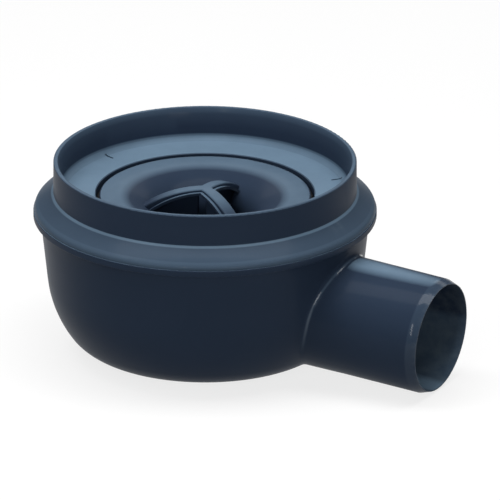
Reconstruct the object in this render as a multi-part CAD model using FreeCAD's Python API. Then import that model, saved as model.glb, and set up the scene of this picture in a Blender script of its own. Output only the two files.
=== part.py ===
import FreeCAD, Part
import math
import os

# Floor drain body with a lift-out water trap, set into a screed floor.
# Millimetres. Z is up along the axis of the collar, z = 0 is the flat underside of the pot,
# and the outlet leaves along +X.

# Pot
pot_height = 63.0            # underside to the seam below the collar
pot_mouth_d = 140.0          # outside, just under the flange
pot_wall = 3.0
wall_draft_deg = 6.4
belly_r = 47.7
belly_lean_deg = 35.7        # lean of the side where the belly passes into the corner
corner_r = 19.0
corner_lean_deg = 69.5       # lean of the side where the corner passes into the floor
floor_bend_r = 50.0
flange_overhang = 3.0
flange_height = 2.9
flange_root_r = 0.8
flange_edge_r = 0.5

# Outlet spigot
outlet_d = 50.0
outlet_wall = 1.8
outlet_fall_deg = 3.5
outlet_reach = 113.3         # along its axis, from the axis of the pot
outlet_lip = 0.45            # wall left at the end by the push-in taper
outlet_taper_length = 4.0
outlet_push_length = 36.0    # plain stretch that a pipe socket takes
outlet_draft_deg = 0.6       # of the stretch between that and the pot
outlet_root_r = 3.0
outlet_ground_gap = 0.12     # under its lowest point, so that the pot stands on its base

# Collar that takes the riser of the floor grate
collar_outer_d = 129.0
collar_wall = 3.0
collar_rise = 13.75          # rim to the top of the shoulder, outside
rim_land = 1.8               # flat on top of the rim
rim_edge_r = 0.5
rim_inner_edge_r = 0.3
lead_in_height = 2.6         # widened mouth inside the rim
socket_depth = 14.0          # rim to the ledge, inside
socket_root_r = 2.9          # fillet round the ledge, where the riser comes to rest

# Shoulder and ledge below the collar
shoulder_drop = 6.4
shoulder_root_r = 0.5
shoulder_edge_height = 1.85  # upright edge between the shoulder and the seam
shoulder_edge_r = 2.8
ledge_thickness = 3.0
ledge_fall = 0.7             # from the foot of the socket to the hole
ledge_root_r = 1.5           # under the ledge
seam_step = 0.4              # the flange of the pot stands this much proud of the shoulder
seam_edge_r = 0.3
register_depth = 2.6         # lip of the collar that centres it in the pot
register_wall = 2.0
register_clearance = 0.25
mark_count = 3
mark_first_deg = 42.4
mark_length = 4.8
mark_end_gap = 1.2           # outer end of a mark to the wall of the socket
mark_width = 0.9
mark_depth = 0.7

# Seat for the trap in the ledge
trap_hole_d = 93.0
hole_bevel_width = 0.4
hole_bevel_drop = 0.3
seat_depth = 7.3             # edge of the hole to the seat
seat_land = 5.0              # width of the seat
seat_wall = 2.5

# Trap funnel
trap_gap = 1.5               # between the rim of the trap and the wall of its hole
rim_sink = 0.65              # dish below the edge of the hole
rim_block_width = 5.0
dish_edge_r = 0.7
funnel_wall = 2.2
mouth_flare = 11.5           # wall of the tube to where the dish and the slope of the well would meet
mouth_bend_r = 24.0          # bend from the dish into the slope
well_slope_deg = 40.0
throat_r = 12.0
tube_inner_d = 39.0
tube_wall = 2.0
tube_floor_gap = 8.0         # lower edge of the tube to the floor of the cup

# Grip of the funnel: arched spokes on webs
spoke_count = 3
spoke_first_deg = 88.5
cap_arch_r = 48.0
foot_arch_r = 40.0
hub_rise = 2.05              # top of the caps above the ledge
cap_width = 5.0
foot_width = 7.4
cap_thickness = 1.3          # at the hub, it grows outwards as the arches part
foot_thickness = 1.2
cap_edge_r = 0.8
hub_d = 6.0
hub_dome_r = 16.0
hub_dome_rise = 0.3          # top of the hub above the caps
web_thickness = 2.4
web_edge_r = 1.1
web_inner_r = 2.5            # the webs stop short of the axis
web_root_r = 2.2             # between a web and the foot above it
web_depth = 20.6             # top of the caps to the lower edge of the webs

# Trap cup, hung from the funnel by hooked straps
cup_pass_clearance = 2.0     # the cup lifts out through the seat
cup_wall = 2.0
cup_corner_r = 12.0
cup_floor_gap = 3.0          # below the cup, to the floor of the pot
weir_drop = 13.0             # seat of the trap to the rim of the cup
strap_first_deg = 30.0
strap_width = 13.0
hook_width = 8.0
hook_height = 3.4
hook_drop = 3.0              # seat of the trap to the sill that the hooks hang on
clip_ring_wall = 2.0
clip_ring_clearance = 0.2
sill_height = 2.0
window_play = 0.4            # around each hook, beside and above it

# Ring seal between the trap and its hole
seal_section_d = 3.5
seal_groove_play = 0.2
seal_contact_gap = 0.06

# Sizes that follow
draft = math.radians(wall_draft_deg)
mouth_r = pot_mouth_d / 2
inner_mouth_r = mouth_r - pot_wall / math.cos(draft)
flange_r = mouth_r + flange_overhang
flange_bottom_z = pot_height - flange_height
fall = math.radians(outlet_fall_deg)
outlet_r = outlet_d / 2
bore_r = outlet_r - outlet_wall
taper_start = outlet_reach - outlet_taper_length
push_start = taper_start - outlet_push_length
outlet_axis_z = outlet_ground_gap + outlet_r * math.cos(fall) + taper_start * math.sin(fall)
collar_r = collar_outer_d / 2
socket_r = collar_r - collar_wall
skirt_r = flange_r - seam_step
shoulder_edge_z = pot_height + shoulder_edge_height
shoulder_top_z = shoulder_edge_z + shoulder_drop
rim_z = shoulder_top_z + collar_rise
ledge_z = rim_z - socket_depth
hole_z = ledge_z - ledge_fall
seat_z = hole_z - seat_depth
hole_r = trap_hole_d / 2
seat_inner_r = hole_r - seat_land
dish_r = hole_r - trap_gap
dish_z = hole_z - rim_sink
seal_z = (seat_z + dish_z) / 2
tube_r = tube_inner_d / 2
bend_x = tube_r + mouth_flare
hub_z = ledge_z + hub_rise
foot_z = hub_z - cap_thickness
foot_bottom_z = foot_z - foot_thickness
cup_r = seat_inner_r - cup_pass_clearance
cup_inner_r = cup_r - cup_wall
cup_bottom_z = pot_wall + cup_floor_gap
weir_z = seat_z - weir_drop
tube_bottom_z = cup_bottom_z + cup_wall + tube_floor_gap
sill_z = seat_z - hook_drop
hook_top_z = sill_z + hook_height
clip_ring_r = cup_inner_r - clip_ring_clearance

UP = FreeCAD.Vector(0, 0, 1)
ORIGIN = FreeCAD.Vector(0, 0, 0)
OUTLET_AXIS = FreeCAD.Vector(math.cos(fall), 0, -math.sin(fall))
OUTLET_START = FreeCAD.Vector(0, 0, outlet_axis_z)


def corner_arc(before, corner, after, radius):
    """Start, middle and end of the arc that rounds a corner."""
    back = (before - corner).normalize()
    ahead = (after - corner).normalize()
    half = back.getAngle(ahead) / 2
    reach = radius / math.tan(half)
    inward = (back + ahead).normalize()
    middle = corner + inward * (radius / math.sin(half) - radius)
    return corner + back * reach, middle, corner + ahead * reach


def closed_face(corners):
    """A flat face through corners given as (point, rounding radius)."""
    stops = []
    for i, (corner, radius) in enumerate(corners):
        before = corners[i - 1][0]
        after = corners[(i + 1) % len(corners)][0]
        stops.append(corner_arc(before, corner, after, radius) if radius else (corner, None, corner))
    edges = []
    for i, (start, middle, end) in enumerate(stops):
        if middle is not None:
            edges.append(Part.Arc(start, middle, end).toShape())
        following = stops[(i + 1) % len(stops)][0]
        if end.distanceToPoint(following) > 1e-6:
            edges.append(Part.LineSegment(end, following).toShape())
    return Part.Face(Part.Wire(edges))


def turned(profile):
    """A solid of revolution about Z from a profile of (radius, height, rounding radius)."""
    corners = [(FreeCAD.Vector(radius, 0, height), rounding) for radius, height, rounding in profile]
    return closed_face(corners).revolve(ORIGIN, UP, 360)


def turned_band(inner_r, outer_r, bottom_z, top_z):
    """A plain ring."""
    return turned([(inner_r, bottom_z, 0), (outer_r, bottom_z, 0), (outer_r, top_z, 0), (inner_r, top_z, 0)])


def parallel_outline(outline, distance):
    """An open outline moved to its left by a distance, with its roundings kept parallel."""
    points = [FreeCAD.Vector(radius, 0, height) for radius, height, rounding in outline]
    steps = [(b - a).normalize() for a, b in zip(points, points[1:])]
    lefts = [FreeCAD.Vector(-step.z, 0, step.x) for step in steps]
    moved = []
    for i, (radius, height, rounding) in enumerate(outline):
        before = lefts[max(i - 1, 0)]
        after = lefts[min(i, len(lefts) - 1)]
        move = (before + after) * (distance / (1 + before.dot(after)))
        turn = before.cross(after).y
        new_rounding = rounding + math.copysign(distance, turn) if rounding else 0
        moved.append((radius + move.x, height + move.z, new_rounding))
    return moved


def around(shape, count, first_deg):
    """Copies of a shape turned evenly about Z."""
    copies = []
    for i in range(count):
        copy = shape.copy()
        copy.rotate(ORIGIN, UP, first_deg + 360.0 * i / count)
        copies.append(copy)
    return copies


def radial_bar(inner_r, outer_r, width, bottom_z, top_z):
    """A bar along +X, centred on the XZ plane."""
    return Part.makeBox(outer_r - inner_r, width, top_z - bottom_z,
                        FreeCAD.Vector(inner_r, -width / 2, bottom_z))


def pot_outline(top_r, bottom_z, inset):
    """One surface of the pot from the axis up to the seam, as a drafted side and three bends."""
    leans = [math.pi / 2, math.radians(corner_lean_deg), math.radians(belly_lean_deg), draft]
    radii = [floor_bend_r - inset, corner_r - inset, belly_r - inset]
    reaches = [r * math.tan((a - b) / 2) for r, a, b in zip(radii, leans, leans[1:])]
    corners = [(0.0, bottom_z)]
    for i in (1, 2):
        run = reaches[i - 1] + reaches[i]
        x, z = corners[-1]
        corners.append((x + run * math.sin(leans[i]), z + run * math.cos(leans[i])))
    last_x, last_z = corners[-1]
    shift = top_r - (flange_bottom_z - last_z) * math.tan(draft) - last_x
    bends = [(x + shift, z, r) for (x, z), r in zip(corners, radii)]
    seam_r = top_r + flange_height * math.tan(draft)
    return [(0, bottom_z, 0)] + bends + [(seam_r, pot_height, 0)]


def on_outlet(distance):
    """A point on the axis of the outlet, at a distance from the axis of the pot."""
    return OUTLET_START + OUTLET_AXIS * distance


def outlet_bar(radius, start, end):
    """A cylinder on the axis of the outlet."""
    return Part.makeCylinder(radius, end - start, on_outlet(start), OUTLET_AXIS)


def root_radius_at(distance):
    """Outside radius of the drafted stretch of the outlet."""
    return outlet_r + (push_start - distance) * math.tan(math.radians(outlet_draft_deg))


def outlet_root_edges(body):
    """The edges where the outlet leaves the side of the pot."""
    found = []
    for edge in body.Edges:
        middle = edge.valueAt((edge.FirstParameter + edge.LastParameter) / 2)
        spots = [vertex.Point for vertex in edge.Vertexes] + [middle]
        offsets = [spot - OUTLET_START for spot in spots]
        along = [offset.dot(OUTLET_AXIS) for offset in offsets]
        across = [offset.cross(OUTLET_AXIS).Length for offset in offsets]
        on_root = all(abs(r - root_radius_at(d)) < 1e-3 for r, d in zip(across, along))
        if on_root and max(along) < mouth_r:
            found.append(edge)
    return found


def outlet_root_fillet():
    """Radius of the fillet round the outlet, limited to half of the wall between it and the flange."""
    top_z = on_outlet(mouth_r).z + root_radius_at(mouth_r) / math.cos(fall)
    return min(outlet_root_r, (flange_bottom_z - flange_root_r - top_z) / 2)


def make_pot():
    """Round pot with a flange for the collar and the falling outlet, moulded as one."""
    outside = pot_outline(mouth_r, 0, 0)
    body = turned(outside[:-1] + [
        (mouth_r, flange_bottom_z, flange_root_r),
        (flange_r, flange_bottom_z, flange_edge_r),
        (flange_r, pot_height, seam_edge_r),
        (0, pot_height, 0),
    ])
    taper = Part.makeCone(outlet_r, bore_r + outlet_lip, outlet_taper_length, on_outlet(taper_start), OUTLET_AXIS)
    root_start = mouth_r / 2
    root = Part.makeCone(root_radius_at(root_start), outlet_r, push_start - root_start,
                         on_outlet(root_start), OUTLET_AXIS)
    spigot = root.fuse([outlet_bar(outlet_r, push_start, taper_start), taper])
    body = body.fuse(spigot).removeSplitter()
    body = body.makeFillet(outlet_root_fillet(), outlet_root_edges(body))
    cavity = turned(pot_outline(inner_mouth_r, pot_wall, pot_wall) + [(0, pot_height, 0)])
    bore = outlet_bar(bore_r, root_start, outlet_reach + outlet_wall)
    return body.cut(cavity).cut(bore)


def shoulder_edge_round():
    """Radius of the lower edge of the shoulder, limited by the upright edge below it."""
    turn = math.atan2(skirt_r - collar_r, shoulder_drop)
    return min(shoulder_edge_r, (shoulder_edge_height - seam_edge_r) / math.tan(turn / 2))


def make_collar():
    """Collar, shoulder and ledge with the seat of the trap, moulded as one ring."""
    lip_z = pot_height - register_depth
    lip_r = inner_mouth_r + (lip_z - flange_bottom_z) * math.tan(draft) - register_clearance
    lip_inner_r = lip_r - register_wall
    under_z = ledge_z - ledge_thickness
    ring = turned([
        (collar_r - rim_land, rim_z, rim_inner_edge_r),
        (collar_r, rim_z, rim_edge_r),
        (collar_r, shoulder_top_z, shoulder_root_r),
        (skirt_r, shoulder_edge_z, shoulder_edge_round()),
        (skirt_r, pot_height, seam_edge_r),
        (lip_r, pot_height, 0),
        (lip_r, lip_z, 0),
        (lip_inner_r, lip_z, 0),
        (lip_inner_r, under_z, ledge_root_r),
        (hole_r + seat_wall, under_z, ledge_root_r),
        (hole_r + seat_wall, seat_z - seat_wall, 0),
        (seat_inner_r, seat_z - seat_wall, 0),
        (seat_inner_r, seat_z, 0),
        (hole_r, seat_z, 0),
        (hole_r, hole_z - hole_bevel_drop, 0),
        (hole_r + hole_bevel_width, hole_z, 0),
        (socket_r, ledge_z, socket_root_r),
        (socket_r, rim_z - lead_in_height, 0),
    ])
    mark_r = socket_r - mark_end_gap
    mark = radial_bar(mark_r - mark_length, mark_r, mark_width, ledge_z - mark_depth, rim_z)
    return ring.cut(around(mark, mark_count, mark_first_deg))


def well_outline():
    """Upper surface of the trap from the edge of the dish over the bell mouth and down the tube."""
    throat_z = dish_z - mouth_flare * math.tan(math.radians(well_slope_deg))
    return [
        (dish_r, dish_z, dish_edge_r),
        (bend_x, dish_z, mouth_bend_r),
        (tube_r, throat_z, throat_r),
        (tube_r, tube_bottom_z, 0),
    ]


def widened(side, width):
    """A solid from a side view in the XZ plane, with half of the width on each side of it."""
    side.translate(FreeCAD.Vector(0, -width / 2, 0))
    return side.extrude(FreeCAD.Vector(0, width, 0))


def arch_point(radius, crown_z, x):
    """A point of an arch in the XZ plane, at a distance from its crown on the axis."""
    return FreeCAD.Vector(x, 0, crown_z - radius + math.sqrt(radius ** 2 - x ** 2))


def arch_bar(top_r, top_z, under_r, under_z, width):
    """A bar along +X between two arches, from the axis to below the dish."""
    top = [arch_point(top_r, top_z, x) for x in (0, bend_x / 2, bend_x)]
    under = [arch_point(under_r, under_z, x) for x in (bend_x, bend_x / 2, 0)]
    side = Part.Face(Part.Wire([
        Part.Arc(*top).toShape(),
        Part.LineSegment(top[-1], under[0]).toShape(),
        Part.Arc(*under).toShape(),
        Part.LineSegment(under[-1], top[0]).toShape(),
    ]))
    return widened(side, width)


def make_spoke():
    """One arched spoke from the axis along +X: a rounded cap on a wider, more curved foot."""
    cap = arch_bar(cap_arch_r, hub_z, foot_arch_r, foot_z - foot_thickness / 2, cap_width)
    crown_end = arch_point(cap_arch_r, hub_z, bend_x)
    top_edges = []
    for edge in cap.Edges:
        along = edge.Length > bend_x
        on_top = any(abs(vertex.Z - crown_end.z) < 1e-6 for vertex in edge.Vertexes)
        if along and on_top:
            top_edges.append(edge)
    cap = cap.makeFillet(cap_edge_r, top_edges)
    foot = arch_bar(foot_arch_r, foot_z, foot_arch_r - foot_thickness, foot_bottom_z, foot_width)
    return cap.fuse(foot)


def make_web():
    """Upright web under a spoke, with a rounded inner edge that sweeps into the foot."""
    bottom_z = hub_z - web_depth
    side = closed_face([(FreeCAD.Vector(x, 0, z), rounding) for x, z, rounding in [
        (web_inner_r, bottom_z, 0),
        (bend_x, bottom_z, 0),
        (bend_x, hub_z, 0),
        (0, hub_z, 0),
        (0, foot_bottom_z, 0),
        (web_inner_r, foot_bottom_z, web_root_r),
    ]])
    plate = widened(side, web_thickness)
    inner_edges = []
    for edge in plate.Edges:
        start, end = [vertex.Point for vertex in edge.Vertexes]
        along = abs(start.y - end.y) < 1e-6
        inside = max(start.x, end.x) < web_inner_r + 1e-6
        below = max(start.z, end.z) < foot_bottom_z + 1e-6
        if along and inside and below:
            inner_edges.append(edge)
    plate = plate.makeFillet(web_edge_r, inner_edges)
    inside_foot_r = foot_arch_r - foot_thickness / 2
    return plate.common(Part.makeSphere(inside_foot_r, FreeCAD.Vector(0, 0, foot_z - foot_arch_r)))


def make_grip():
    """Hub, spokes and webs, trimmed to end inside the wall of the well."""
    hub_top_z = hub_z + hub_dome_rise
    dome = Part.makeSphere(hub_dome_r, FreeCAD.Vector(0, 0, hub_top_z - hub_dome_r))
    hub = turned_band(0, hub_d / 2, foot_bottom_z, hub_top_z).common(dome)
    grip = hub.fuse(around(make_spoke(), spoke_count, spoke_first_deg))
    grip = grip.fuse(around(make_web(), spoke_count, spoke_first_deg))
    middle_of_wall = parallel_outline(well_outline(), funnel_wall / 2)
    lid_z = hub_top_z + hub_dome_rise
    well = turned([(0, lid_z, 0), (dish_r, lid_z, 0)] + middle_of_wall[1:] + [(0, tube_bottom_z, 0)])
    return grip.common(well)


def make_trap_funnel():
    """Flat dish with a bell mouth, dip tube and grip, moulded as one."""
    top = well_outline()
    under = parallel_outline(top, funnel_wall)
    tube_outer_r = tube_r + tube_wall
    dish = turned(top + [
        (tube_outer_r, tube_bottom_z, 0),
        (tube_outer_r, under[2][1], under[2][2]),
        under[1],
        (dish_r, dish_z - funnel_wall, 0),
    ])
    inside_dish_z = dish_z - funnel_wall / 2
    rim = turned_band(dish_r - rim_block_width, dish_r, seat_z, inside_dish_z)
    ring = turned_band(clip_ring_r - clip_ring_wall, clip_ring_r, sill_z - sill_height, inside_dish_z)
    window = radial_bar(clip_ring_r - 2 * clip_ring_wall, clip_ring_r + clip_ring_wall,
                        hook_width + 2 * window_play, sill_z, hook_top_z + window_play)
    ring = ring.cut(around(window, spoke_count, strap_first_deg))
    half_groove = (seal_section_d + seal_groove_play) / 2
    groove = turned_band(hole_r - seal_section_d, hole_r, seal_z - half_groove, seal_z + half_groove)
    return dish.fuse([rim, ring, make_grip()]).cut(groove).removeSplitter()


def make_trap_cup():
    """Cup that holds the water seal, with straps whose hooks hang in the ring of the funnel."""
    outside = [
        (0, cup_bottom_z, 0),
        (cup_r, cup_bottom_z, cup_corner_r),
        (cup_r, weir_z, 0),
    ]
    cup = turned(outside + parallel_outline(outside, cup_wall)[::-1])
    sleeve = turned_band(cup_inner_r, cup_r, weir_z - cup_wall, hook_top_z)
    strap = radial_bar(cup_inner_r - cup_wall, cup_r + cup_wall, strap_width, weir_z - cup_wall, hook_top_z)
    hook = radial_bar(clip_ring_r - clip_ring_wall, cup_inner_r + cup_wall / 2, hook_width, sill_z, hook_top_z)
    hanger = strap.common(sleeve).fuse(hook)
    return cup.fuse(around(hanger, spoke_count, strap_first_deg)).removeSplitter()


def make_trap_seal():
    """Ring seal in the groove of the funnel, up to the wall of its hole."""
    section_r = seal_section_d / 2 - seal_contact_gap
    return Part.makeTorus(hole_r - seal_section_d / 2, section_r, FreeCAD.Vector(0, 0, seal_z), UP)


os.makedirs("parts", exist_ok=True)
nodes = {
    "pot": make_pot(),
    "collar": make_collar(),
    "trap_funnel": make_trap_funnel(),
    "trap_cup": make_trap_cup(),
    "trap_seal": make_trap_seal(),
}
for name, shape in nodes.items():
    shape.exportStep(f"parts/{name}.step")
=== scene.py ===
import math

import bpy
from mathutils import Matrix, Vector


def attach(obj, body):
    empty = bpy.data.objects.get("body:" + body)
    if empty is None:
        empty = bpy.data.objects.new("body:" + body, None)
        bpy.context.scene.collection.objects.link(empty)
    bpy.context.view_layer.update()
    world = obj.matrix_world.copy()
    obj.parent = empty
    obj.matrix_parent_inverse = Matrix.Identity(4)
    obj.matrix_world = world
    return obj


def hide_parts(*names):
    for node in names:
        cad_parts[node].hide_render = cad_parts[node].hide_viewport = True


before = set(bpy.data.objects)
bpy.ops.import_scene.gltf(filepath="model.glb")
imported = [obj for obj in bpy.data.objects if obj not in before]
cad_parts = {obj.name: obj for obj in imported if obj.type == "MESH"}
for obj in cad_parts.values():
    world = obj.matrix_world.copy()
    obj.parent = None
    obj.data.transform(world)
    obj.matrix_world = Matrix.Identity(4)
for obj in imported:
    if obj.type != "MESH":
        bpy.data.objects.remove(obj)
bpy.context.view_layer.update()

# The view: the picture is 500 by 500 and shows the drain without perspective.
VIEW_AZIMUTH = math.radians(27.63)
VIEW_ELEVATION = math.radians(21.40)
VIEW_WIDTH = 0.2125               # metres across the picture
VIEW_SHIFT_RIGHT = 0.01910        # middle of the picture from the middle of the base
VIEW_SHIFT_UP = 0.04124
CAMERA_DISTANCE = 1.0

# Colours
PLASTIC_DEEP = (0.0205, 0.0330, 0.0585, 1.0)
PLASTIC_LIGHT = (0.0255, 0.0400, 0.0690, 1.0)
PLASTIC_WORN = (0.060, 0.080, 0.105, 1.0)
# Painted light: a pale colour where light falls, and painted highlights and glints.
PLASTIC_PAINTED_LIGHT = (0.150, 0.230, 0.315, 1.0)
# Painted shade: a darker colour down the throat of the trap.
PLASTIC_PAINTED_SHADE = (0.006, 0.010, 0.018, 1.0)
GLOSS_TINT = (0.50, 0.72, 1.0, 1.0)
RUBBER_DEEP = (0.0035, 0.0036, 0.0040, 1.0)
RUBBER_LIGHT = (0.0085, 0.0088, 0.0095, 1.0)
FLOOR_COLOUR = (0.20, 0.20, 0.20, 1.0)
WHITE = (1.0, 1.0, 1.0, 1.0)

# Finish of the plastic
PLASTIC_IOR = 1.40
PLASTIC_GLOSS = 0.07
PLASTIC_ROUGHNESS = (0.40, 0.50)
PAINTED_LIGHT_ROUGHNESS = 0.10             # more where light is painted
COAT_ROUGHNESS = 0.12
COAT_IOR = 1.35
COAT_WEIGHT = (0.06, 0.90)        # all over, and more on the lines of the outlet, which also carry painted glints
PLASTIC_CLOUDS = 34.0
WEAR_SHARPNESS = 0.53
WEAR_WIDTH = 0.08
PLASTIC_BUMP = 0.25
BODY_GRAIN = (1500.0, 0.00004)    # fineness, height in metres
TRAP_GRAIN = (1700.0, 0.00003)
# How much light is painted in each place on the body.
BODY_PAINTED_LIGHT = {
    "Flat Amount": 0.92,
    "Slope Amount": 0.22,
    "Edge Amount": 0.30,
    "Corner Amount": 0.78,
    "Mouth Amount": 0.14,
    "Outlet Amount": 0.22,
    "Bore Amount": 0.28,
}
# Painted light on flats and spoke tops, and painted shade down the throat.
TRAP_PAINTED_LIGHT_AND_SHADE = {"Flat Amount": 0.56, "Grip Amount": 0.52, "Painted Shade Amount": 0.45}

# Finish of the rubber
RUBBER_IOR = 1.40
RUBBER_ROUGHNESS = (0.55, 0.75)
RUBBER_CLOUDS = 90.0
RUBBER_BUMP = 0.4
RUBBER_GRAIN = (2200.0, 0.00003)

# Where painted light, painted shade and gloss begin or end, as spans over which they fade, in metres.
# Facings are the upward part of the surface's direction.
FLAT_FACING = (0.945, 0.99)
SLOPE_FACING = (0.10, 0.45)
RIM_HEIGHT = (0.0830, 0.0850)
SHOULDER_FOOT = (0.0640, 0.0655)
EDGE_LOW = (0.0630, 0.0631)
EDGE_HIGH = (0.0666, 0.0676)
EDGE_RADIUS = (0.0700, 0.0710)
CORNER_LOW = (0.0703, 0.0706)
CORNER_HIGH = (0.0732, 0.0738)
SOCKET_RADIUS = (0.0622, 0.0626)
MOUTH_LOW = (0.0822, 0.0832)
MOUTH_RADIUS = (0.0635, 0.0640)
THROAT_HEIGHT = (0.0650, 0.0660)
PAINTED_SHADE_HEIGHT = (0.0500, 0.0660)
GRIP_RADIUS = (0.01175, 0.0235)
# These are measured from the middle and the axis of the outlet, apart from the starts along X.
OUTLET_START = (0.0300, 0.0350)
BORE_START = (0.0550, 0.0600)
BORE_RADIUS = (0.0234, 0.0235)
BORE_LIFT = (-0.0015, 0.0015)
ROOT_NEAR = (0.0252, 0.0254)
ROOT_FAR = (0.0256, 0.0260)
ROOT_LIFT = (-0.010, 0.006)
TAPER_PLACE = (0.0174, 0.0180)
TAPER_RADIUS = (0.0234, 0.0236)
TAPER_LIFT = (-0.020, 0.012)
OUTLET_MIDDLE = (0.09113, 0.0, 0.02617)
OUTLET_AXIS = (0.99813, 0.0, -0.06105)

# Shares of the painted light
RIM_PAINTED_LIGHT = 0.45
FILLET_PAINTED_LIGHT = 0.62
TAPER_PAINTED_LIGHT = 0.4
TAPER_UNDER_PAINTED_LIGHT = 0.25
THIN_PATCH = 0.82
PATCH_CONTRAST = (0.30, 0.70)

# Cap and foot of the third spoke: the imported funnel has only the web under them.
SPOKE_TURN = math.radians(88.5)
SPOKE_START = -0.0012             # past the middle, inside the other two spokes
SPOKE_REACH = 0.0300              # past the wall of the bell mouth, where the spoke is cut off
SPOKE_STEPS = 16
CAP_WIDTH = 0.0050
CAP_ROUNDING = 0.0008
CAP_ROUNDING_STEPS = 4
FOOT_WIDTH = 0.0074
CAP_ARCH = (0.0480, 0.07305)      # radius, height of the crown
CAP_BED_ARCH = (0.0400, 0.07115)  # in the middle of the foot
FOOT_ARCH = (0.0400, 0.07175)
FOOT_UNDER_ARCH = (0.0388, 0.07055)
WALL_PLACE = (0.02801, 0.0, 0.06383)  # half way through the wall of the bell mouth
WALL_FACING = (0.729, 0.0, -0.685)

SMOOTH_ANGLE = math.radians(28)
MERGE_DISTANCE = 2e-6

# Light and floor. A softbox stands so many metres to the right, towards the camera and up.
SOFTBOX_AIM = (0.0, 0.0, 0.06)
SOFTBOXES = [
    # name, right, towards, up, width, height, watts
    ("top_softbox", 0.0, 0.04, 0.87, 1.10, 0.36, 8.2),
    ("back_softbox", 0.0, -0.86, 0.60, 1.20, 0.30, 2.0),
    ("front_softbox", 0.34, 0.90, 0.20, 0.25, 0.30, 1.6),
    ("near_softbox", -0.23, 0.84, 0.44, 0.08, 0.36, 1.2),
    ("left_softbox", -0.62, 0.22, 0.62, 0.45, 0.55, 1.4),
]
ROOM_LIGHT = 0.07
FLOOR_SIZE = 6.0
FLOOR_ROUGHNESS = 0.9
FLOOR_GLOW = 0.78                 # lifts the floor to white for the camera and in reflections


def deselect_all():
    """Leaves object mode with nothing selected."""
    if bpy.context.mode != "OBJECT":
        bpy.ops.object.mode_set(mode="OBJECT")
    bpy.ops.object.select_all(action="DESELECT")


def make_active(obj):
    """Selects one object alone."""
    deselect_all()
    obj.select_set(True)
    bpy.context.view_layer.objects.active = obj


def new_group(name, inputs, outputs):
    """An empty shader node group of plain values, its inputs given as (name, default)."""
    group = bpy.data.node_groups.new(name, "ShaderNodeTree")
    for label, value in inputs:
        socket = group.interface.new_socket(name=label, in_out="INPUT", socket_type="NodeSocketFloat")
        socket.default_value = value
    for label in outputs:
        group.interface.new_socket(name=label, in_out="OUTPUT", socket_type="NodeSocketFloat")
    return group


def add(tree, kind, values=None, **settings):
    """A node of a tree with its settings and unlinked socket values."""
    node = tree.nodes.new(kind)
    for key, value in settings.items():
        setattr(node, key, value)
    for socket, number in (values or {}).items():
        node.inputs[socket].default_value = number
    return node


def product(tree, factors):
    """The output of multiplied values."""
    result = factors[0]
    for factor in factors[1:]:
        times = add(tree, "ShaderNodeMath", operation="MULTIPLY")
        tree.links.new(result, times.inputs[0])
        tree.links.new(factor, times.inputs[1])
        result = times.outputs["Value"]
    return result


def largest(tree, choices):
    """The output of the largest of several values."""
    result = choices[0]
    for choice in choices[1:]:
        larger = add(tree, "ShaderNodeMath", operation="MAXIMUM")
        tree.links.new(result, larger.inputs[0])
        tree.links.new(choice, larger.inputs[1])
        result = larger.outputs["Value"]
    return result


def ramp(tree, value, span, low=0.0, high=1.0):
    """A value that goes from low to high over a span."""
    node = add(tree, "ShaderNodeMapRange",
               {"From Min": span[0], "From Max": span[1], "To Min": low, "To Max": high})
    tree.links.new(value, node.inputs["Value"])
    return node.outputs["Result"]


def vector_math(tree, operation, first, second=None):
    """A vector node with a linked first input and a fixed second one."""
    node = add(tree, "ShaderNodeVectorMath", operation=operation)
    tree.links.new(first, node.inputs[0])
    if second is not None:
        node.inputs[1].default_value = second
    return node.outputs["Value" if operation in ("LENGTH", "DOT_PRODUCT") else "Vector"]


def split(tree, vector):
    """The three parts of a vector."""
    node = add(tree, "ShaderNodeSeparateXYZ")
    tree.links.new(vector, node.inputs["Vector"])
    return node.outputs


def moulding_group():
    """Cloudy tone, fine grain and slow flow of moulded plastic."""
    group = new_group("moulded_surface", [("Cloud Size", 30.0), ("Grain Size", 1400.0)],
                      ["Cloud", "Grain", "Flow"])
    links = group.links
    source = add(group, "NodeGroupInput")
    sink = add(group, "NodeGroupOutput")
    place = add(group, "ShaderNodeTexCoord").outputs["Object"]
    cloud = add(group, "ShaderNodeTexNoise", {"Detail": 5.0, "Roughness": 0.6, "Distortion": 0.4})
    grain = add(group, "ShaderNodeTexNoise", {"Detail": 2.0, "Roughness": 0.5})
    stretch = add(group, "ShaderNodeMapping", {"Scale": (1.0, 1.0, 3.5)})
    flow = add(group, "ShaderNodeTexNoise", {"Scale": 14.0, "Detail": 3.0, "Distortion": 1.2})
    links.new(place, cloud.inputs["Vector"])
    links.new(place, grain.inputs["Vector"])
    links.new(place, stretch.inputs["Vector"])
    links.new(stretch.outputs["Vector"], flow.inputs["Vector"])
    links.new(source.outputs["Cloud Size"], cloud.inputs["Scale"])
    links.new(source.outputs["Grain Size"], grain.inputs["Scale"])
    links.new(cloud.outputs["Fac"], sink.inputs["Cloud"])
    links.new(grain.outputs["Fac"], sink.inputs["Grain"])
    links.new(flow.outputs["Fac"], sink.inputs["Flow"])
    return group


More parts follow.
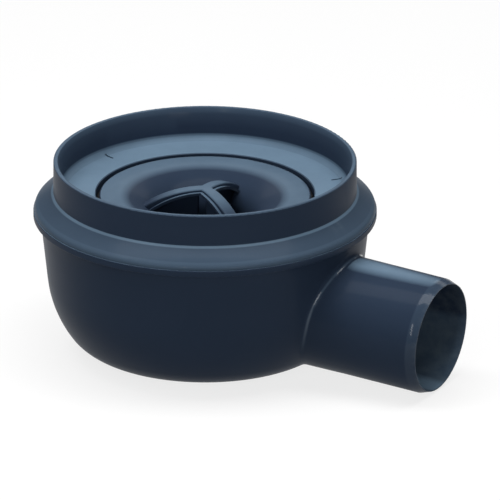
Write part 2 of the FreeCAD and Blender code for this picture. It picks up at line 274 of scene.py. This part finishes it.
def wear_group():
    """Rubbed edges: convex places, broken up by noise."""
    group = new_group("rubbed_edges", [("Sharpness", 0.52), ("Width", 0.06)], ["Mask"])
    links = group.links
    source = add(group, "NodeGroupInput")
    sink = add(group, "NodeGroupOutput")
    shape = add(group, "ShaderNodeNewGeometry")
    place = add(group, "ShaderNodeTexCoord").outputs["Object"]
    breaks = add(group, "ShaderNodeTexNoise", {"Scale": 160.0, "Detail": 4.0, "Roughness": 0.65})
    top = add(group, "ShaderNodeMath", operation="ADD")
    spread = add(group, "ShaderNodeMapRange", interpolation_type="SMOOTHSTEP")
    links.new(place, breaks.inputs["Vector"])
    links.new(source.outputs["Sharpness"], top.inputs[0])
    links.new(source.outputs["Width"], top.inputs[1])
    links.new(shape.outputs["Pointiness"], spread.inputs["Value"])
    links.new(source.outputs["Sharpness"], spread.inputs["From Min"])
    links.new(top.outputs["Value"], spread.inputs["From Max"])
    gaps = ramp(group, breaks.outputs["Fac"], (0.38, 0.66))
    links.new(product(group, [spread.outputs["Result"], gaps]), sink.inputs["Mask"])
    return group


def painted_light_and_shade_group():
    """Painted light on what faces up, on the shoulder's edge, in corners, in the mouth, in the bore, on the
    spoke tops and as glints on the outlet, a little patchy; painted shade down the throat; and where the
    outlet is glossier.
    """
    group = new_group(
        "painted_light_and_shade",
        [("Flat Amount", 0.8), ("Slope Amount", 0.0), ("Edge Amount", 0.0), ("Corner Amount", 0.0),
         ("Mouth Amount", 0.0), ("Outlet Amount", 0.0), ("Bore Amount", 0.0), ("Grip Amount", 0.0),
         ("Painted Shade Amount", 0.0)],
        ["Mask", "Painted Shade", "Gloss"],
    )
    links = group.links
    amount = add(group, "NodeGroupInput").outputs
    sink = add(group, "NodeGroupOutput")
    place = add(group, "ShaderNodeTexCoord").outputs["Object"]
    spot = split(group, place)
    height = spot["Z"]
    radius = vector_math(group, "LENGTH", vector_math(group, "MULTIPLY", place, (1.0, 1.0, 0.0)))
    facing = split(group, add(group, "ShaderNodeNewGeometry").outputs["Normal"])["Z"]
    # Painted light: pale on what faces up, on the shoulder's edge, in corners, in the mouth, in the lower
    # bore and on the spoke tops.
    flat = ramp(group, facing, FLAT_FACING)
    slope = ramp(group, facing, SLOPE_FACING)
    on_flats = product(group, [flat, ramp(group, height, RIM_HEIGHT, 1.0, RIM_PAINTED_LIGHT), amount["Flat Amount"]])
    on_slopes = product(group, [slope, ramp(group, height, SHOULDER_FOOT), amount["Slope Amount"]])
    on_edge = product(group, [ramp(group, height, EDGE_LOW),
                              ramp(group, height, EDGE_HIGH, 1.0, 0.0),
                              ramp(group, radius, EDGE_RADIUS),
                              amount["Edge Amount"]])
    above_corner = ramp(group, height, CORNER_LOW)
    below_wall = ramp(group, height, CORNER_HIGH, 1.0, 0.0)
    in_corners = product(group, [slope, above_corner, below_wall, amount["Corner Amount"]])
    on_fillet = product(group, [above_corner, below_wall,
                                ramp(group, radius, SOCKET_RADIUS, FILLET_PAINTED_LIGHT, 0.0),
                                amount["Corner Amount"]])
    in_mouth = product(group, [ramp(group, height, MOUTH_LOW),
                               ramp(group, radius, MOUTH_RADIUS, 1.0, 0.0),
                               amount["Mouth Amount"]])
    from_outlet = vector_math(group, "SUBTRACT", place, OUTLET_MIDDLE)
    along = vector_math(group, "DOT_PRODUCT", from_outlet, OUTLET_AXIS)
    off_axis = vector_math(group, "LENGTH", vector_math(group, "CROSS_PRODUCT", from_outlet, OUTLET_AXIS))
    lift = split(group, from_outlet)["Z"]
    in_bore = product(group, [ramp(group, off_axis, BORE_RADIUS, 1.0, 0.0),
                              ramp(group, spot["X"], BORE_START),
                              ramp(group, lift, BORE_LIFT, 1.0, 0.0),
                              amount["Bore Amount"]])
    # Painted glints along the root and the taper of the outlet.
    at_root = product(group, [ramp(group, off_axis, ROOT_NEAR),
                              ramp(group, off_axis, ROOT_FAR, 1.0, 0.0),
                              ramp(group, spot["X"], OUTLET_START),
                              ramp(group, lift, ROOT_LIFT)])
    at_taper = product(group, [ramp(group, along, TAPER_PLACE, 0.0, TAPER_PAINTED_LIGHT),
                               ramp(group, off_axis, TAPER_RADIUS),
                               ramp(group, lift, TAPER_LIFT, TAPER_UNDER_PAINTED_LIGHT, 1.0)])
    lines = largest(group, [at_root, at_taper])
    on_lines = product(group, [lines, amount["Outlet Amount"]])
    on_grip = product(group, [slope, ramp(group, height, THROAT_HEIGHT),
                              ramp(group, radius, GRIP_RADIUS, 1.0, 0.0),
                              amount["Grip Amount"]])
    most = largest(group, [on_flats, on_slopes, on_edge, in_corners, on_fillet, in_mouth, in_bore,
                           on_lines, on_grip])
    patches = add(group, "ShaderNodeTexNoise", {"Scale": 42.0, "Detail": 6.0, "Roughness": 0.65})
    links.new(place, patches.inputs["Vector"])
    patchy = ramp(group, patches.outputs["Fac"], PATCH_CONTRAST, THIN_PATCH, 1.0)
    # Painted shade: darker lower down, towards the throat.
    painted_shade = ramp(group, height, PAINTED_SHADE_HEIGHT, 1.0, 0.0)
    links.new(product(group, [most, patchy]), sink.inputs["Mask"])
    links.new(product(group, [painted_shade, amount["Painted Shade Amount"]]), sink.inputs["Painted Shade"])
    links.new(lines, sink.inputs["Gloss"])
    return group


def use_group(tree, group, values):
    """A group placed in a material with its own values."""
    return add(tree, "ShaderNodeGroup", values, node_tree=group)


def mix_colours(tree, first, second, factor):
    """The colour of a mix of two fixed or linked colours."""
    node = add(tree, "ShaderNodeMix", data_type="RGBA")
    for socket in node.inputs:
        if socket.name == "Factor" and socket.type == "VALUE":
            tree.links.new(factor, socket)
        elif socket.type == "RGBA":
            colour = first if socket.name == "A" else second
            if isinstance(colour, tuple):
                socket.default_value = colour
            else:
                tree.links.new(colour, socket)
    return [socket for socket in node.outputs if socket.type == "RGBA"][0]


def add_grain(tree, shader, surface, strength, height):
    """Fine grain as a bump on a material."""
    bump = add(tree, "ShaderNodeBump", {"Strength": strength, "Distance": height})
    tree.links.new(surface.outputs["Grain"], bump.inputs["Height"])
    tree.links.new(bump.outputs["Normal"], shader.inputs["Normal"])


def plastic_material(name, groups, grain, painted_amounts):
    """Blue-black moulded plastic: cloudy tone, painted shade down the throat, rubbed edges, painted light
    and glints, and fine grain.
    """
    material = bpy.data.materials.new(name)
    material.use_nodes = True
    tree = material.node_tree
    links = tree.links
    shader = tree.nodes["Principled BSDF"]
    shader.inputs["IOR"].default_value = PLASTIC_IOR
    shader.inputs["Specular IOR Level"].default_value = PLASTIC_GLOSS
    shader.inputs["Specular Tint"].default_value = GLOSS_TINT
    shader.inputs["Coat Roughness"].default_value = COAT_ROUGHNESS
    shader.inputs["Coat IOR"].default_value = COAT_IOR
    grain_size, grain_height = grain
    surface = use_group(tree, groups["moulding"], {"Cloud Size": PLASTIC_CLOUDS, "Grain Size": grain_size})
    wear = use_group(tree, groups["wear"], {"Sharpness": WEAR_SHARPNESS, "Width": WEAR_WIDTH})
    painted_masks = use_group(tree, groups["painted"], painted_amounts)
    tone = mix_colours(tree, PLASTIC_DEEP, PLASTIC_LIGHT, surface.outputs["Cloud"])
    # Painted shade: darker down the throat of the trap.
    painted_shade = mix_colours(tree, tone, PLASTIC_PAINTED_SHADE, painted_masks.outputs["Painted Shade"])
    rubbed = mix_colours(tree, painted_shade, PLASTIC_WORN, wear.outputs["Mask"])
    # Painted light: a pale colour where light would fall, and painted glints on the outlet.
    with_painted_light = mix_colours(tree, rubbed, PLASTIC_PAINTED_LIGHT, painted_masks.outputs["Mask"])
    links.new(with_painted_light, shader.inputs["Base Color"])
    dull = add(tree, "ShaderNodeMath", {1: PAINTED_LIGHT_ROUGHNESS}, operation="MULTIPLY_ADD")
    links.new(painted_masks.outputs["Mask"], dull.inputs[0])
    links.new(ramp(tree, surface.outputs["Flow"], (0.0, 1.0), *PLASTIC_ROUGHNESS), dull.inputs[2])
    links.new(dull.outputs["Value"], shader.inputs["Roughness"])
    links.new(ramp(tree, painted_masks.outputs["Gloss"], (0.0, 1.0), *COAT_WEIGHT), shader.inputs["Coat Weight"])
    add_grain(tree, shader, surface, PLASTIC_BUMP, grain_height)
    return material


def rubber_material(groups):
    """Black seal rubber, dull and a little cloudy in tone."""
    material = bpy.data.materials.new("seal_rubber")
    material.use_nodes = True
    tree = material.node_tree
    shader = tree.nodes["Principled BSDF"]
    shader.inputs["IOR"].default_value = RUBBER_IOR
    grain_size, grain_height = RUBBER_GRAIN
    surface = use_group(tree, groups["moulding"], {"Cloud Size": RUBBER_CLOUDS, "Grain Size": grain_size})
    tone = mix_colours(tree, RUBBER_DEEP, RUBBER_LIGHT, surface.outputs["Cloud"])
    tree.links.new(tone, shader.inputs["Base Color"])
    tree.links.new(ramp(tree, surface.outputs["Flow"], (0.0, 1.0), *RUBBER_ROUGHNESS),
                   shader.inputs["Roughness"])
    add_grain(tree, shader, surface, RUBBER_BUMP, grain_height)
    return material


def smooth_copy(node_name, piece_name, material):
    """A shaded copy of a node, with its loose triangles joined."""
    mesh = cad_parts[node_name].data.copy()
    mesh.name = piece_name
    piece = bpy.data.objects.new(piece_name, mesh)
    bpy.context.scene.collection.objects.link(piece)
    make_active(piece)
    bpy.ops.mesh.customdata_custom_splitnormals_clear()
    bpy.ops.object.mode_set(mode="EDIT")
    bpy.ops.mesh.select_all(action="SELECT")
    bpy.ops.mesh.remove_doubles(threshold=MERGE_DISTANCE)
    bpy.ops.object.mode_set(mode="OBJECT")
    bpy.ops.object.shade_smooth_by_angle(angle=SMOOTH_ANGLE)
    mesh.materials.clear()
    mesh.materials.append(material)
    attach(piece, "root")
    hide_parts(node_name)


def arch_height(arch, along):
    """Height of an arch at a distance from its crown."""
    radius, crown = arch
    return crown - radius + math.sqrt(radius ** 2 - along ** 2)


def close_up():
    """Joins the doubled points of the mesh in edit mode and turns its faces outwards."""
    bpy.ops.mesh.select_all(action="SELECT")
    bpy.ops.mesh.remove_doubles(threshold=MERGE_DISTANCE)
    bpy.ops.mesh.normals_make_consistent(inside=False)


def arched_bar(name, upper, lower, width):
    """A bar between two arches, drawn out from the hub along X."""
    deselect_all()
    bpy.ops.mesh.primitive_plane_add(size=1.0, location=(0, 0, 0), rotation=(0, math.pi / 2, 0))
    bar = bpy.context.active_object
    bar.name = name
    bpy.ops.object.transform_apply(location=False, rotation=True, scale=False)
    bpy.ops.object.mode_set(mode="EDIT")
    bpy.ops.mesh.select_all(action="SELECT")
    along, middle, depth = 0.0, 0.0, 1.0
    for step in range(SPOKE_STEPS + 1):
        place = SPOKE_START + (SPOKE_REACH - SPOKE_START) * step / SPOKE_STEPS
        high, low = arch_height(upper, place), arch_height(lower, place)
        shift = (place - along, 0.0, (high + low) / 2 - middle)
        if step == 0:
            bpy.ops.transform.translate(value=shift)
        else:
            bpy.ops.mesh.extrude_region_move(TRANSFORM_OT_translate={"value": shift})
        along, middle = place, (high + low) / 2
        bpy.ops.transform.resize(value=(1.0, width if step == 0 else 1.0, (high - low) / depth),
                                 center_override=(along, 0.0, middle))
        depth = high - low
    close_up()
    bpy.ops.object.mode_set(mode="OBJECT")
    return bar


def round_top_edges(bar, upper):
    """Rounds the two long upper edges of an arched bar."""
    make_active(bar)
    bpy.ops.object.mode_set(mode="EDIT")
    bpy.ops.mesh.select_mode(type="EDGE")
    bpy.ops.mesh.select_all(action="DESELECT")
    bpy.ops.object.mode_set(mode="OBJECT")
    points = bar.data.vertices
    for edge in bar.data.edges:
        start, end = (points[index].co for index in edge.vertices)
        on_top = all(abs(p.z - arch_height(upper, p.x)) < MERGE_DISTANCE for p in (start, end))
        edge.select = on_top and abs(start.y - end.y) < MERGE_DISTANCE
    bpy.ops.object.mode_set(mode="EDIT")
    bpy.ops.mesh.bevel(offset=CAP_ROUNDING, segments=CAP_ROUNDING_STEPS, affect="EDGES")
    bpy.ops.object.mode_set(mode="OBJECT")


def make_third_spoke(material):
    """Rounded cap on a wider foot, from the hub into the wall of the bell mouth."""
    foot = arched_bar("spoke_foot", FOOT_ARCH, FOOT_UNDER_ARCH, FOOT_WIDTH)
    spoke = arched_bar("third_spoke", CAP_ARCH, CAP_BED_ARCH, CAP_WIDTH)
    round_top_edges(spoke, CAP_ARCH)
    make_active(spoke)
    union = spoke.modifiers.new("union", "BOOLEAN")
    union.operation = "UNION"
    union.solver = "EXACT"
    union.object = foot
    bpy.ops.object.modifier_apply(modifier="union")
    bpy.data.objects.remove(foot)
    bpy.ops.object.mode_set(mode="EDIT")
    bpy.ops.mesh.select_all(action="SELECT")
    bpy.ops.mesh.bisect(plane_co=WALL_PLACE, plane_no=WALL_FACING, use_fill=True, clear_outer=True)
    close_up()
    bpy.ops.object.mode_set(mode="OBJECT")
    spoke.rotation_euler = (0.0, 0.0, SPOKE_TURN)
    bpy.ops.object.transform_apply(location=False, rotation=True, scale=False)
    bpy.ops.object.shade_smooth_by_angle(angle=SMOOTH_ANGLE)
    spoke.data.materials.append(material)
    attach(spoke, "root")


def view_axes():
    """The picture's right, the level direction towards the camera, and the picture's up and back."""
    right = Vector((math.cos(VIEW_AZIMUTH), math.sin(VIEW_AZIMUTH), 0))
    towards = Vector((math.sin(VIEW_AZIMUTH), -math.cos(VIEW_AZIMUTH), 0))
    back = towards * math.cos(VIEW_ELEVATION) + Vector((0, 0, math.sin(VIEW_ELEVATION)))
    return right, towards, back.cross(right), back


def make_camera():
    """Camera at the picture's view, without perspective."""
    right, towards, up, back = view_axes()
    data = bpy.data.cameras.new("view")
    data.type = "ORTHO"
    data.ortho_scale = VIEW_WIDTH
    camera = bpy.data.objects.new("view", data)
    bpy.context.scene.collection.objects.link(camera)
    aim = right * VIEW_SHIFT_RIGHT + up * VIEW_SHIFT_UP
    axes = Matrix((right, up, back)).transposed()
    camera.matrix_world = Matrix.Translation(aim + back * CAMERA_DISTANCE) @ axes.to_4x4()
    bpy.context.scene.camera = camera


def make_softbox(name, place, width, height, watts):
    """A white rectangular softbox that faces the drain."""
    data = bpy.data.lights.new(name, "AREA")
    data.shape = "RECTANGLE"
    data.size = width
    data.size_y = height
    data.energy = watts
    lamp = bpy.data.objects.new(name, data)
    bpy.context.scene.collection.objects.link(lamp)
    lamp.location = place
    lamp.rotation_mode = "QUATERNION"
    lamp.rotation_quaternion = (place - Vector(SOFTBOX_AIM)).to_track_quat("Z", "Y")


def make_lights():
    """A softbox above the drain, and dimmer ones behind it, in front of it and at its left."""
    right, towards = view_axes()[:2]
    for name, across, near, up, width, height, watts in SOFTBOXES:
        make_softbox(name, right * across + towards * near + Vector((0, 0, up)), width, height, watts)


def make_world():
    """Plain dim light from all sides."""
    world = bpy.data.worlds.new("studio")
    bpy.context.scene.world = world
    world.use_nodes = True
    shader = world.node_tree.nodes["Background"]
    shader.inputs["Color"].default_value = WHITE
    shader.inputs["Strength"].default_value = ROOM_LIGHT


def make_floor():
    """Pale floor."""
    deselect_all()
    bpy.ops.mesh.primitive_plane_add(size=FLOOR_SIZE, location=(0, 0, 0))
    floor = bpy.context.active_object
    floor.name = "floor"
    material = bpy.data.materials.new("pale_floor")
    material.use_nodes = True
    tree = material.node_tree
    shader = tree.nodes["Principled BSDF"]
    shader.inputs["Base Color"].default_value = FLOOR_COLOUR
    shader.inputs["Roughness"].default_value = FLOOR_ROUGHNESS
    shader.inputs["Emission Color"].default_value = WHITE
    rays = add(tree, "ShaderNodeLightPath").outputs
    seen = largest(tree, [rays["Is Camera Ray"], rays["Is Glossy Ray"], rays["Is Transmission Ray"]])
    tree.links.new(ramp(tree, seen, (0.0, 1.0), 0.0, FLOOR_GLOW), shader.inputs["Emission Strength"])
    floor.data.materials.append(material)


deselect_all()
bpy.context.scene.view_settings.view_transform = "Standard"
groups = {"moulding": moulding_group(), "wear": wear_group(), "painted": painted_light_and_shade_group()}
body_plastic = plastic_material("drain_body_plastic", groups, BODY_GRAIN, BODY_PAINTED_LIGHT)
trap_plastic = plastic_material("trap_plastic", groups, TRAP_GRAIN, TRAP_PAINTED_LIGHT_AND_SHADE)
seal_rubber = rubber_material(groups)
smooth_copy("pot", "pot_moulding", body_plastic)
smooth_copy("collar", "collar_moulding", body_plastic)
smooth_copy("trap_funnel", "funnel_moulding", trap_plastic)
make_third_spoke(trap_plastic)
smooth_copy("trap_cup", "cup_moulding", trap_plastic)
smooth_copy("trap_seal", "ring_seal", seal_rubber)
make_floor()
make_lights()
make_world()
make_camera()
